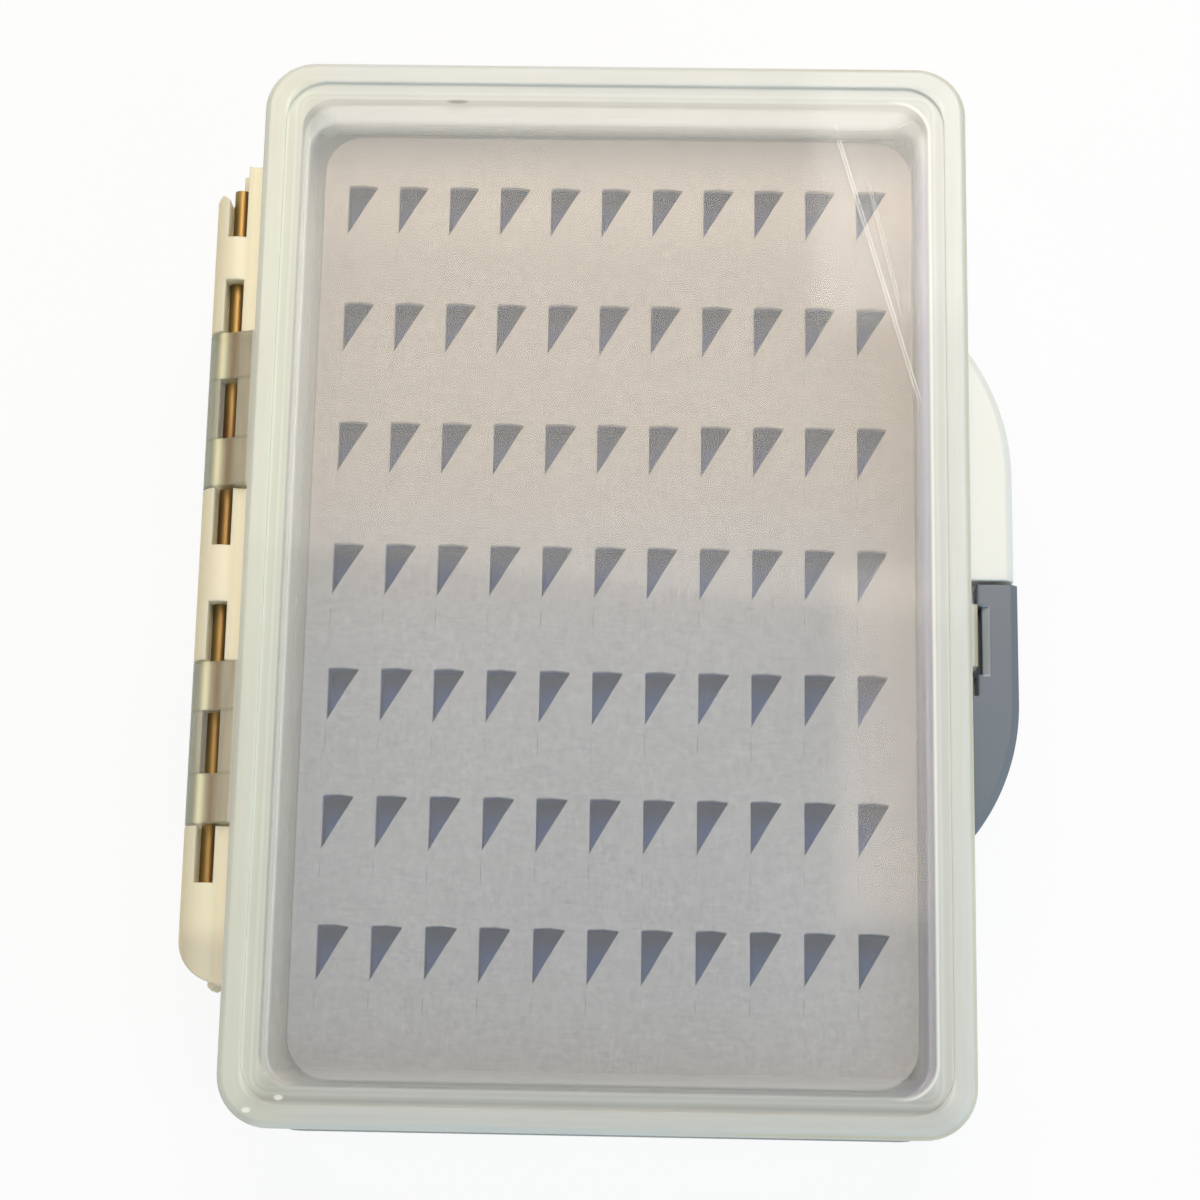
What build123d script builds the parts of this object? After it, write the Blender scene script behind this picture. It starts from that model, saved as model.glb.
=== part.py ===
"""Two-sided fly box: a white frame between two clear hinged lids.

Units are millimetres.  The case lies on its back lid, +Z up through the front
lid, hinges at -X and latches at +X.  The origin is under the middle of the case.
Everything on the front half is modelled once, and its twin on the back half is
the same piece turned over about the X axis at mid thickness.
"""

from build123d import *
import os

os.makedirs("parts", exist_ok=True)

# --- case -----------------------------------------------------------------
case_width = 100.0          # across the lids, X
case_length = 150.0         # along the hinge, Y
case_thickness = 36.0       # outside of one lid to outside of the other, Z
corner_radius = 7.0         # plan corners of the lids
corner_taper = 0.4          # each inner outline loses this much radius per mm of inset

# --- lid --------------------------------------------------------------------
rim_width = 3.1             # raised band round the edge of the lid
rim_thickness = 2.8
rim_edge_bevel = 0.8
panel_recess = 0.6          # the window lies this far below the raised band
panel_thickness = 2.0
seat_gap = 0.2              # lid rim over the top of the frame wall
lid_overhang = 0.3          # lid edge beyond the frame wall
skirt_gap = 0.4             # lid skirt inside the frame wall
skirt_leg = 0.7             # each of the two legs that hold the gasket
skirt_depth = 3.2           # below the lid rim
gasket_width = 0.9
gasket_groove_depth = 2.6
gasket_proud = 1.2          # gasket below the skirt
seal_gap = 0.1              # gasket over its ledge

# --- frame ------------------------------------------------------------------
wall_thickness = 2.5
wall_lead_in = 0.9          # chamfer that guides the skirt into the frame
ledge_thickness = 1.5
divider_thickness = 1.8

# --- slit foam --------------------------------------------------------------
foam_side_gap = 4.05        # pad to the long walls of the frame
foam_end_gap = 3.7          # pad to the end walls
foam_thickness = 5.5
foam_corner_radius = 6.0
foam_shift_x = 0.5          # the pad sits a little nearer the latches
adhesive_thickness = 0.2
adhesive_margin = 2.0       # the tape is a plain rectangle inside the pad's outline
notch_columns = 11
notch_rows = 7
notch_side_margin = 3.8     # first column of notches from the side of the pad
notch_end_margin = 10.7     # first row of notches from the end of the pad
notch_width = 4.4
notch_length = 7.6
notch_floor = 1.0           # foam left under a notch
notch_shift_x = -0.3        # middle of the notch pattern from the middle of the pad
notch_shift_y = 2.4

# --- hinge ------------------------------------------------------------------
hinge_reach = 3.5           # pin axis beyond the lid edge
hinge_drop = 5.8            # pin axis below the outside of the lid
knuckle_radius = 3.4
pin_radius = 1.1
pin_clearance = 0.05        # on the radius
slot_width = 2.6            # open channels that show the pin
bar_open_end = 59.9         # the frame's hinge bar from the middle, at the open end ...
bar_block_end = 56.4        # ... and at the end with the solid block
centre_knuckle_length = 8.0
lug_start = 12.5            # the two lid lugs lie from here ...
lug_end = 34.8              # ... to here on both sides of the middle
lug_barrel_length = 6.8     # closed barrel at each end of a lug
lug_side_gap = 0.3
outer_knuckle_start = 42.8
outer_knuckle_length = 6.4
outer_rail_setback = 4.2    # the outer rail stops short of the open end
outer_rail_slope = 0.8      # its end is cut to a point
end_block_radius = 7.0
pin_open_end = 57.0
pin_blind_end = 48.0
lug_strap_height = 1.8      # where a lug runs into the edge of the lid rim

# --- latch side -------------------------------------------------------------
guard_reach = 6.4           # guard beyond the lid edge
tab_reach = 6.9             # finger tab of the latch beyond the lid edge
wing_straight = 16.0        # straight outer edge, from the middle
wing_tip = 36.3             # where the curved edge runs into the frame
wing_drop = 4.5             # wings below the outside of the lid
wing_gap = 0.6              # between the guard and the latch beside it
wing_gap_shift = 0.7        # middle of that gap from the middle of the case, toward the guard
guard_wall = 1.8
guard_bevel = 1.0
tab_thickness = 2.2
tab_flange_depth = 4.5
tab_flange_width = 1.6
tab_bevel = 0.9
ear_start = 0.8             # near ear from the middle
ear_width = 1.9
far_ear_start = 12.3
far_ear_width = 2.8
ear_radius = 1.4
ear_reach = 0.9             # upper part of the ears beyond the lid edge
ear_drop = 5.4              # top of the ears below the outside of the lid
ear_side_gap = 0.4          # latch tab in front of the ears
latch_pin_reach = 1.9       # latch pin axis beyond the lid edge
latch_pin_drop = 13.4       # latch pin axis below the outside of the lid
latch_pin_radius = 0.6
latch_side_gap = 0.15       # latch between its ears
latch_arm_reach = 2.0       # inner face of the latch arm beyond the lid edge
latch_arm_thickness = 1.4
tongue_thickness = 0.8      # lid tongue that the latch holds
tongue_side_gap = 0.5       # tongue between the ears
tongue_root_drop = 1.0      # top of the tongue below the outside of the lid
tooth_height = 1.0
tooth_depth = 0.8
tooth_drop = 8.9            # top of the tooth below the outside of the lid
hook_thickness = 1.2
hook_gap = 0.1              # hook over the tooth
hook_clearance = 0.2        # hook tip in front of the tongue
root_overlap = 0.7          # how far wings, bars and ears run into the frame wall

# --- worked out from the sizes above ----------------------------------------
half_width = case_width / 2
mid_height = case_thickness / 2
lid_top = case_thickness
rim_underside = lid_top - rim_thickness
panel_top = lid_top - panel_recess
panel_underside = panel_top - panel_thickness
wall_top = rim_underside - seat_gap
wall_base = case_thickness - wall_top
wall_outside = lid_overhang                       # insets are measured from the lid edge
wall_inside = wall_outside + wall_thickness
skirt_outside = wall_inside + skirt_gap
gasket_outside = skirt_outside + skirt_leg
gasket_inside = gasket_outside + gasket_width
skirt_inside = gasket_inside + skirt_leg
skirt_bottom = rim_underside - skirt_depth
gasket_top = skirt_bottom + gasket_groove_depth
gasket_bottom = skirt_bottom - gasket_proud
ledge_top = gasket_bottom - seal_gap
divider_top = mid_height + divider_thickness / 2
foam_base = divider_top + adhesive_thickness
foam_width = case_width - 2 * (wall_inside + foam_side_gap)
foam_length = case_length - 2 * (wall_inside + foam_end_gap)
notch_pitch_x = (foam_width - 2 * notch_side_margin - notch_width) / (notch_columns - 1)
notch_pitch_y = (foam_length - 2 * notch_end_margin - notch_length) / (notch_rows - 1)
hinge_x = -half_width - hinge_reach
hinge_z = lid_top - hinge_drop
pin_hole_radius = pin_radius + pin_clearance
bar_root = -half_width + wall_outside + root_overlap
wing_root = half_width - wall_outside - root_overlap
wing_top = lid_top - wing_drop
guard_start = wing_gap_shift + wing_gap / 2
tab_start = wing_gap_shift - wing_gap / 2
latch_pin_x = half_width + latch_pin_reach
latch_pin_z = lid_top - latch_pin_drop
latch_pin_hole = latch_pin_radius + pin_clearance
tooth_top = lid_top - tooth_drop
near_ear_end = ear_start + ear_width
far_ear_end = far_ear_start + far_ear_width
latch_middle = -(near_ear_end + far_ear_start) / 2
ear_opening = far_ear_start - near_ear_end
turned_over = Location((0, 0, case_thickness), (180, 0, 0))
both_halves = (Location(), turned_over)


def lid_outline(inset, mode=Mode.ADD):
    """Draw the rounded outline of the lid, moved in by an inset."""
    radius = corner_radius - corner_taper * inset
    RectangleRounded(case_width - 2 * inset, case_length - 2 * inset, radius, mode=mode)


def ring(outer_inset, inner_inset, bottom, top, mode=Mode.ADD):
    """Add or cut a closed band that follows the lid outline."""
    with BuildSketch(Plane.XY.offset(bottom)) as band:
        lid_outline(outer_inset)
        lid_outline(inner_inset, mode=Mode.SUBTRACT)
    extrude(band.sketch, amount=top - bottom, mode=mode)


def across(middle_y):
    """Give the XZ plane at a place along the hinge, facing +Y."""
    return Plane(origin=(0, middle_y, 0), x_dir=(-1, 0, 0), z_dir=(0, 1, 0))


def pin_bore(start, end, radius, axis_x, axis_z):
    """Cut a round hole that runs along Y."""
    with BuildSketch(across(start)) as hole:
        with Locations((-axis_x, axis_z)):
            Circle(radius)
    extrude(hole.sketch, amount=end - start, mode=Mode.SUBTRACT)


def open_channel(start, end):
    """Cut away what lies over the pin, so that it shows in its half-round bed."""
    channel_height = lid_top - hinge_z
    with Locations((hinge_x, (start + end) / 2, hinge_z + channel_height / 2)):
        Box(slot_width, end - start, channel_height, mode=Mode.SUBTRACT)


def make_hinge_bar():
    """Make the frame's half of one hinge: rails, knuckles and a solid end block."""
    lug_gap_start = lug_start - lug_side_gap
    lug_gap_end = lug_end + lug_side_gap
    open_end = outer_knuckle_start + outer_knuckle_length
    outer_face = hinge_x - knuckle_radius
    channel_edge = hinge_x - slot_width / 2
    rail_end = bar_open_end - outer_rail_setback
    with BuildPart() as hinge_bar:
        with BuildSketch(across(-bar_block_end)):
            with Locations((-hinge_x, hinge_z)):
                Circle(knuckle_radius)
            with Locations((-(hinge_x + bar_root) / 2, (hinge_z - knuckle_radius + wall_top) / 2)):
                Rectangle(bar_root - hinge_x, wall_top - hinge_z + knuckle_radius)
        extrude(amount=bar_open_end + bar_block_end)
        with BuildSketch():
            with BuildLine():
                arc_start = outer_face + end_block_radius
                block_end = Line((bar_root, -bar_block_end), (arc_start, -bar_block_end))
                arc_end = (outer_face, -bar_block_end + end_block_radius)
                corner = TangentArc(block_end @ 1, arc_end, tangent=(-1, 0))
                Polyline(
                    corner @ 1,
                    (outer_face, rail_end - outer_rail_slope),
                    ((outer_face + channel_edge) / 2, rail_end),
                    (channel_edge, rail_end - outer_rail_slope),
                    (hinge_x, rail_end - outer_rail_slope),
                    (hinge_x, bar_open_end),
                    (bar_root, bar_open_end),
                    block_end @ 0,
                )
            make_face()
        extrude(amount=case_thickness, mode=Mode.INTERSECT)
        for side in (-1, 1):
            start, end = sorted((side * lug_gap_start, side * lug_gap_end))
            with Locations((bar_root - root_overlap, (start + end) / 2, hinge_z)):
                Box(
                    2 * (knuckle_radius + hinge_reach),
                    end - start,
                    case_thickness,
                    align=(Align.MAX, Align.CENTER, Align.CENTER),
                    mode=Mode.SUBTRACT,
                )
            open_channel(*sorted((side * centre_knuckle_length / 2, side * lug_gap_start)))
            open_channel(*sorted((side * lug_gap_end, side * outer_knuckle_start)))
        open_channel(open_end, bar_open_end)
        pin_bore(-pin_blind_end - pin_clearance, bar_open_end, pin_hole_radius, hinge_x, hinge_z)
    return hinge_bar.part


def wing_outline(start, reach):
    """Draw a half-moon wing that stands out beside the lid, on the +Y side."""
    edge_x = half_width + reach
    with BuildLine() as outline:
        straight = Polyline((wing_root, start), (edge_x, start), (edge_x, wing_straight))
        curve = TangentArc(straight @ 1, (wing_root, wing_tip), tangent=(0, 1))
        Line(curve @ 1, straight @ 0)
    make_face(outline.edges())


def outer_edges(edges):
    """Pick the straight and the curved outer edge of a wing."""
    reached = half_width + latch_arm_reach
    return edges.filter_by(lambda edge: edge.bounding_box().size.Y > wing_gap and edge.center().X > reached)


def make_guard():
    """Make the hollow wing that covers the latch of the other lid from behind."""
    with BuildPart() as guard:
        with BuildSketch(Plane.XY.offset(mid_height)) as plan:
            wing_outline(guard_start, guard_reach)
        extrude(amount=wing_top - mid_height)
        top_edges = guard.edges().filter_by_position(Axis.Z, wing_top, wing_top)
        chamfer(outer_edges(top_edges), guard_bevel)
        with BuildSketch(Plane.XY.offset(mid_height)):
            add(plan.sketch_local)
            offset(amount=-guard_wall)
        extrude(amount=wing_top - mid_height - guard_wall, mode=Mode.SUBTRACT)
    return guard.part


def make_ears():
    """Make the pair of ears that carry a latch."""
    ear_top = lid_top - ear_drop
    ear_bottom = latch_pin_z - ear_radius
    ear_face = half_width + ear_reach
    with BuildPart() as ears:
        for end, width in ((-ear_start, ear_width), (-far_ear_start, far_ear_width)):
            with BuildSketch(across(end - width)) as cheek:
                with Locations((-(wing_root + ear_face) / 2, (ear_bottom + ear_top) / 2)):
                    Rectangle(ear_face - wing_root, ear_top - ear_bottom)
                fillet(cheek.vertices().group_by(Axis.Y)[-1].sort_by(Axis.X)[0], ear_radius)
                with Locations((-(wing_root + latch_pin_x) / 2, latch_pin_z)):
                    Rectangle(latch_pin_x - wing_root, 2 * ear_radius)
                with Locations((-latch_pin_x, latch_pin_z)):
                    Circle(ear_radius)
            extrude(amount=width)
        pin_bore(-far_ear_end, -ear_start, latch_pin_hole, latch_pin_x, latch_pin_z)
    return ears.part


def make_frame():
    """Make the white frame: walls, divider, seal ledges, hinges, guards and ears."""
    hinge_bar = make_hinge_bar()
    guard = make_guard()
    ears = make_ears()
    with BuildPart() as body_frame:
        ring(wall_outside, wall_inside, wall_base, wall_top)
        flat_ends = body_frame.faces().filter_by(Plane.XY)
        chamfer([edge for face in flat_ends for edge in face.inner_wires()[0].edges()], wall_lead_in)
        with BuildSketch(Plane.XY.offset(mid_height - divider_thickness / 2)):
            lid_outline(wall_inside - root_overlap)
        extrude(amount=divider_thickness)
        ring(wall_inside - root_overlap, skirt_inside, ledge_top - ledge_thickness, ledge_top)
        back_ledge = case_thickness - ledge_top
        ring(wall_inside - root_overlap, skirt_inside, back_ledge, back_ledge + ledge_thickness)
        with Locations(*both_halves):
            add(hinge_bar)
            add(guard)
            add(ears)
    return body_frame.part


def make_lid():
    """Make one clear lid: window, raised rim, double skirt, hinge lugs and latch tongue."""
    tongue_face = half_width + tongue_thickness
    tongue_length = ear_opening - 2 * tongue_side_gap
    with BuildPart() as lid:
        with BuildSketch(Plane.XY.offset(rim_underside)):
            lid_outline(0)
        extrude(amount=rim_thickness)
        chamfer(lid.faces().sort_by(Axis.Z)[-1].edges(), rim_edge_bevel)
        with BuildSketch(Plane.XY.offset(panel_top)):
            lid_outline(rim_width)
        extrude(amount=panel_recess, mode=Mode.SUBTRACT)
        with BuildSketch(Plane.XY.offset(rim_underside)):
            lid_outline(skirt_inside)
        extrude(amount=panel_underside - rim_underside, mode=Mode.SUBTRACT)
        ring(skirt_outside, skirt_inside, skirt_bottom, rim_underside)
        ring(gasket_outside, gasket_inside, skirt_bottom, gasket_top, mode=Mode.SUBTRACT)
        # hinge lugs: a barrel with a strap that runs up into the rim
        for side in (-1, 1):
            start, end = sorted((side * lug_start, side * lug_end))
            strap_top = rim_underside + lug_strap_height
            with BuildSketch(across(start)):
                with Locations((-hinge_x, hinge_z)):
                    Circle(knuckle_radius)
                with BuildLine():
                    Polyline(
                        (-hinge_x, hinge_z),
                        (-hinge_x, hinge_z + knuckle_radius),
                        (half_width, strap_top),
                        (half_width - rim_width / 2, strap_top),
                        (half_width - rim_width / 2, rim_underside),
                        (half_width, rim_underside),
                        (half_width, hinge_z),
                        close=True,
                    )
                make_face()
            extrude(amount=end - start)
            open_channel(start + lug_barrel_length, end - lug_barrel_length)
            pin_bore(start, end, pin_hole_radius, hinge_x, hinge_z)
        # tongue that hangs outside the frame wall, with the tooth that the latch holds
        with BuildSketch(across(latch_middle - tongue_length / 2)):
            with BuildLine():
                Polyline(
                    (-half_width + rim_width / 2, rim_underside),
                    (-half_width, rim_underside),
                    (-half_width, tooth_top - tooth_height),
                    (-tongue_face, tooth_top - tooth_height),
                    (-tongue_face - tooth_depth, tooth_top - tooth_height / 2),
                    (-tongue_face - tooth_depth, tooth_top),
                    (-tongue_face, tooth_top),
                    (-tongue_face, lid_top - tongue_root_drop),
                    (-half_width + rim_width / 2, lid_top - tongue_root_drop),
                    close=True,
                )
            make_face()
        extrude(amount=tongue_length)
    return lid.part


def make_gasket():
    """Make the soft ring that sits between the two legs of the lid skirt."""
    with BuildPart() as gasket:
        ring(gasket_outside, gasket_inside, gasket_bottom, gasket_top)
    return gasket.part


def make_foam_pad():
    """Make the slit foam pad with its rows of triangular notches."""
    with BuildPart() as foam_pad:
        with BuildSketch(Plane.XY.offset(foam_base)):
            with Locations((foam_shift_x, 0)):
                RectangleRounded(foam_width, foam_length, foam_corner_radius)
        extrude(amount=foam_thickness)
        with BuildSketch(Plane.XY.offset(foam_base + notch_floor)):
            with Locations((foam_shift_x + notch_shift_x, notch_shift_y)):
                with GridLocations(notch_pitch_x, notch_pitch_y, notch_columns, notch_rows):
                    Polygon(
                        (-notch_width / 2, notch_length / 2),
                        (-notch_width / 2, -notch_length / 2),
                        (notch_width / 2, notch_length / 2),
                        align=None,
                    )
        extrude(amount=foam_thickness - notch_floor, mode=Mode.SUBTRACT)
    return foam_pad.part


def make_pad_adhesive():
    """Make the thin tape that bonds a foam pad to the divider."""
    with BuildPart() as adhesive:
        with BuildSketch(Plane.XY.offset(divider_top)):
            with Locations((foam_shift_x, 0)):
                Rectangle(foam_width - 2 * adhesive_margin, foam_length - 2 * adhesive_margin)
        extrude(amount=adhesive_thickness)
    return adhesive.part


def make_hinge_pin():
    """Make the straight brass pin of one hinge, with its open end left showing."""
    with BuildPart() as hinge_pin:
        with BuildSketch(across(-pin_blind_end)):
            with Locations((-hinge_x, hinge_z)):
                Circle(pin_radius)
        extrude(amount=pin_open_end + pin_blind_end)
    return hinge_pin.part


def make_latch_pin():
    """Make the short pin that runs through both ears and the latch between them."""
    with BuildPart() as latch_pin:
        with BuildSketch(across(-far_ear_end)):
            with Locations((-latch_pin_x, latch_pin_z)):
                Circle(latch_pin_radius)
        extrude(amount=far_ear_end - ear_start)
    return latch_pin.part


def make_latch():
    """Make one latch: half-moon finger tab, arm, knuckle and hook in one moulding."""
    tab_bottom = wing_top - tab_flange_depth
    tab_root = half_width + lid_overhang
    ear_slot = ear_reach + ear_side_gap
    arm_face = half_width + latch_arm_reach
    arm_back = arm_face + latch_arm_thickness
    arm_top = wing_top - tab_thickness / 2
    hook_bottom = tooth_top + hook_gap
    hook_tip = half_width + tongue_thickness + hook_clearance
    knuckle_length = ear_opening - 2 * latch_side_gap
    with BuildPart() as latch:
        with BuildSketch(Plane.XY.offset(tab_bottom)) as tab_plan:
            wing_outline(-tab_start, tab_reach)
            mirror(about=Plane.XZ, mode=Mode.REPLACE)
            with Locations((tab_root, 0)):
                Rectangle(case_width, case_length, align=(Align.MIN, Align.CENTER), mode=Mode.INTERSECT)
            with Locations((half_width, tab_start)):
                Rectangle(
                    ear_slot,
                    tab_start + far_ear_end + latch_side_gap,
                    align=(Align.MIN, Align.MAX),
                    mode=Mode.SUBTRACT,
                )
            with Locations((half_width, latch_middle)):
                Rectangle(
                    latch_arm_reach,
                    ear_opening,
                    align=(Align.MIN, Align.CENTER),
                    mode=Mode.SUBTRACT,
                )
        extrude(amount=tab_flange_depth)
        top_edges = latch.edges().filter_by_position(Axis.Z, wing_top, wing_top)
        chamfer(outer_edges(top_edges), tab_bevel)
        with BuildSketch(across(-far_ear_start)):
            Polygon(
                (-arm_face, wing_top),
                (-arm_face - tab_bevel, wing_top),
                (-arm_face, wing_top - tab_bevel),
                align=None,
            )
        extrude(amount=ear_opening, mode=Mode.SUBTRACT)
        with BuildSketch(Plane.XY.offset(tab_bottom)):
            add(tab_plan.sketch_local)
            offset(amount=-tab_flange_width)
        extrude(amount=tab_flange_depth - tab_thickness, mode=Mode.SUBTRACT)
        with BuildSketch(across(latch_middle - knuckle_length / 2)):
            with Locations((-latch_pin_x, latch_pin_z)):
                Circle(ear_radius)
            with BuildLine():
                Polyline(
                    (-arm_back, latch_pin_z),
                    (-arm_face, latch_pin_z),
                    (-arm_face, hook_bottom),
                    (-hook_tip, hook_bottom),
                    (-hook_tip, hook_bottom + hook_thickness / 2),
                    (-arm_face, hook_bottom + hook_thickness),
                    (-arm_face, arm_top),
                    (-arm_back, arm_top),
                    close=True,
                )
            make_face()
        extrude(amount=knuckle_length)
        pin_bore(-far_ear_start, -near_ear_end, latch_pin_hole, latch_pin_x, latch_pin_z)
    return latch.part


def export_pair(name, front_piece):
    """Write the front piece and its twin on the back half."""
    with BuildPart() as back_twin:
        with Locations(turned_over):
            add(front_piece)
    front_piece.label = "front_" + name
    back_twin.part.label = "back_" + name
    export_step(front_piece, f"parts/front_{name}.step")
    export_step(back_twin.part, f"parts/back_{name}.step")


frame = make_frame()
frame.label = "body_frame"
export_step(frame, "parts/body_frame.step")

export_pair("lid", make_lid())
export_pair("lid_gasket", make_gasket())
export_pair("foam_pad", make_foam_pad())
export_pair("pad_adhesive", make_pad_adhesive())
export_pair("hinge_pin", make_hinge_pin())
export_pair("latch", make_latch())
export_pair("latch_pin", make_latch_pin())
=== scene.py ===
"""Looks of a two-sided fly box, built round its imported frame.

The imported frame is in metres.  The sizes in this file are in millimetres and are
scaled once, where a mesh or a shader takes them; only the stage is in metres.
The box lies on its back lid, with +Z up through the front lid, the hinges at -X
and the latches at +X.  The back half is the front half turned over about the X
axis at mid thickness, so the finishes measure heights from there.
"""

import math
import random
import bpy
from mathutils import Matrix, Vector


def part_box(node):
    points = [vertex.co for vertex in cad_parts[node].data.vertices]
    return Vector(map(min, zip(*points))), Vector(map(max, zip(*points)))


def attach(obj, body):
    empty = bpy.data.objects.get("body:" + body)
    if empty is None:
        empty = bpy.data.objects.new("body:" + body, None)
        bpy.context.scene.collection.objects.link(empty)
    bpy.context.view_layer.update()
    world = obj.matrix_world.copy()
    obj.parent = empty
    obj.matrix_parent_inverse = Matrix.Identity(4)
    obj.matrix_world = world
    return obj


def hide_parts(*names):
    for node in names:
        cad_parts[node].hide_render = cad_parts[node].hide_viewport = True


bl_info = {
    "name": "Fly Box Finisher",
    "version": (1, 0, 0),
    "blender": (4, 5, 0),
    "location": "3D View > Sidebar > Fly Box",
    "description": "Makes the slit foam and finishes every piece of a two-sided fly box",
    "category": "Object",
}

import bmesh
import bpy
from mathutils import Matrix, Vector

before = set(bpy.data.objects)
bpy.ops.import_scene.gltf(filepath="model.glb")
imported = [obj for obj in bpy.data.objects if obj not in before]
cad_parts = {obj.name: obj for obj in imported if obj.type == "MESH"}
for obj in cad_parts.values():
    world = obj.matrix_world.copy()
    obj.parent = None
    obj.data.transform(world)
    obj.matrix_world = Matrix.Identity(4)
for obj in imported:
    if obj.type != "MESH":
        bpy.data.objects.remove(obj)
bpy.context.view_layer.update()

MM = 0.001
LID_LOW, LID_HIGH = (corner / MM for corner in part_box("front_lid"))
PAD_LOW, PAD_HIGH = (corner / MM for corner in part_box("front_foam_pad"))
PAD_SPAN = PAD_HIGH - PAD_LOW
PAD_MIDDLE = (PAD_HIGH + PAD_LOW) / 2
CASE_THICKNESS = LID_HIGH.z
MID_HEIGHT = CASE_THICKNESS / 2

# The lid's outline, the clear window in it, and the depth where its skirt starts.
HALF_WIDTH = 50.0
HALF_LENGTH = LID_HIGH.y
LID_CORNER = 7.0
WINDOW_INSET = 5.4
WINDOW_CORNER = 4.6
SKIRT_DEPTH = 2.65

# The outer edge of the hinge barrels along X.  Along Y, from the middle: the ends of
# a lid's hinge lug, and the ends of the opening between its two barrels.
BARREL_EDGE = LID_LOW.x
LUG_ENDS = 12.5, 34.8
LUG_WINDOW = 19.3, 28.0

# Where the duller end block of the hinge starts along Y.
END_BLOCK_START = -50.0

# The bevel that slopes to a latch's arm: where it starts along X, its height from mid
# thickness, and its ends along Y from the middle.
LATCH_ARM = 52.0
WEDGE_HEIGHT = 12.3
WEDGE_ENDS = 2.5, 12.6

# Lines that run round the lid's rim, as insets from its outline: a painted highlight on the step,
# painted shade in the groove, and two lines of painted highlight.
RIM_STEP = 3.2
RIM_GROOVE = 3.3
RIM_GLINTS = 4.5, 5.3

# Straight scratches on the window: start, end and strength.
SCRATCH_HALF_WIDTH = 0.12
SCRATCHES = (
    ((31.4, 66.8), (43.8, 24.0), 1.0),
    ((35.9, 59.6), (41.2, 37.4), 0.5),
)
# Painted highlights (glints) at a corner of the rim, and one grey scuff on its +Y end.
GLINT_SPOTS = (-45.8, -72.7), (-41.7, -71.0)
SCUFF_SPOT = -22.5, 69.3

# Hand cuts in the foam: how far their corners stray, how their edges lean and bow,
# and how round the corners are.
CUT_STRAY = 0.09
TIP_LEAN = 0.05
SIDE_BOW = 0.03
TOP_BOW = 0.10
FAR_DROP = 0.18
SQUARE_CORNER = 0.35
FAR_CORNER = 0.38
TIP_CORNER = 0.10
# A slit starts a little below the tip of its notch, and is narrow and shallow.
SLIT_START = 0.35
SLIT_HALF_WIDTH = 0.05
SLIT_LEAN = 0.15
SLIT_DEPTH = 0.5
# Rounded edges of the cuts and of the pad, and the steps of a rounding.
NOTCH_LIP = 0.08
SLIT_LIP = 0.015
PAD_EDGE = 0.35
PAD_CORNER_STEPS = 12
EDGE_STEPS = 3

# Area lamps, in metres: name, place, size, the setting for the power, and colour.
LAMP_AIM = 0.0, 0.0, 0.03
LAMPS = (
    ("key", (0.02, 0.218, 0.40), (0.28, 0.28), "key_power", (1.0, 0.88, 0.74)),
    ("side", (-0.46, 0.0, 0.45), (0.22, 0.60), "side_power", (1.0, 0.90, 0.72)),
    ("fill", (0.50, -0.45, 0.50), (0.6, 0.6), "fill_power", (0.52, 0.80, 1.0)),
    ("low right", (0.42, -0.12, 0.07), (0.10, 0.5), "edge_power", (1.0, 0.97, 0.88)),
    ("low front", (0.0, -0.45, 0.07), (0.5, 0.10), "edge_power", (1.0, 0.97, 0.88)),
)
# Glowing cards that the lid mirrors, in metres: name, place, size and light.
CARDS = (
    ("window card", (0.25, 0.62, 1.03), (0.31, 0.48), (10.5, 9.8, 9.0)),
    ("far window card", (0.1335, 0.143, 1.03), (0.052, 0.192), (9.8, 8.0, 6.3)),
)
CAMERA_CLIP = 0.01, 20.0
FLOOR_HALF_SIZE = 3.0
FLOOR_GLOW = 0.9
SKY_BLUE = 0.84, 0.94, 1.0
FLOOR_GREY = 0.86, 0.86, 0.86
WHITE = 1.0, 1.0, 1.0

# Colours that no setting changes, as linear red, green and blue.
# Painted warm light on the hinge, duller on its end block.
HINGE_WARM_LIGHT = 0.83, 0.755, 0.57
END_BLOCK_WARM_LIGHT = 0.67, 0.61, 0.475
# Painted warm light on the outer edge of the hinge barrels.
WARM_EDGE_LIGHT = 0.86, 0.76, 0.47
# Painted warm light on the rim's hinge side.
RIM_WARM_LIGHT = 0.68, 0.69, 0.61
# Painted shade on the rim's outer edge toward +X.
RIM_EDGE_SHADE = 0.62, 0.56, 0.36
PANE_SHADE = 0.44, 0.43, 0.52
# White of the painted highlights on the rim.
GLINT_WHITE = 1.0, 0.99, 0.93
SCUFF_GREY = 0.34, 0.33, 0.29
LUG_INNER = 0.49, 0.43, 0.31
LUG_OUTER = 0.33, 0.35, 0.23
LUG_BAND = 0.27, 0.19, 0.10
# Painted shade at the lug's ends and edges.
LUG_OUTLINE_SHADE = 0.22, 0.22, 0.13
# Painted highlight along the lug's barrels.
LUG_HIGHLIGHT = 1.0, 0.93, 0.55
# Painted shade deep in the notches toward +Y.
WARM_DEPTH_SHADE = 0.03, 0.055, 0.19
# Brass with a painted reflection: olive on the outer side of a hinge pin, orange on its inner
# side.
BRASS_OUTER = 0.24, 0.175, 0.065
BRASS_INNER = 0.28, 0.175, 0.06
BRASS_STAIN = 0.17, 0.10, 0.045
# Painted light on the latch's bevel.
LATCH_WEDGE_LIGHT = 0.40, 0.44, 0.50
SEAL_WHITE = 0.80, 0.79, 0.74
TAPE_GREY = 0.22, 0.25, 0.31


# --- settings a user would change ---------------------------------------------


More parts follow.
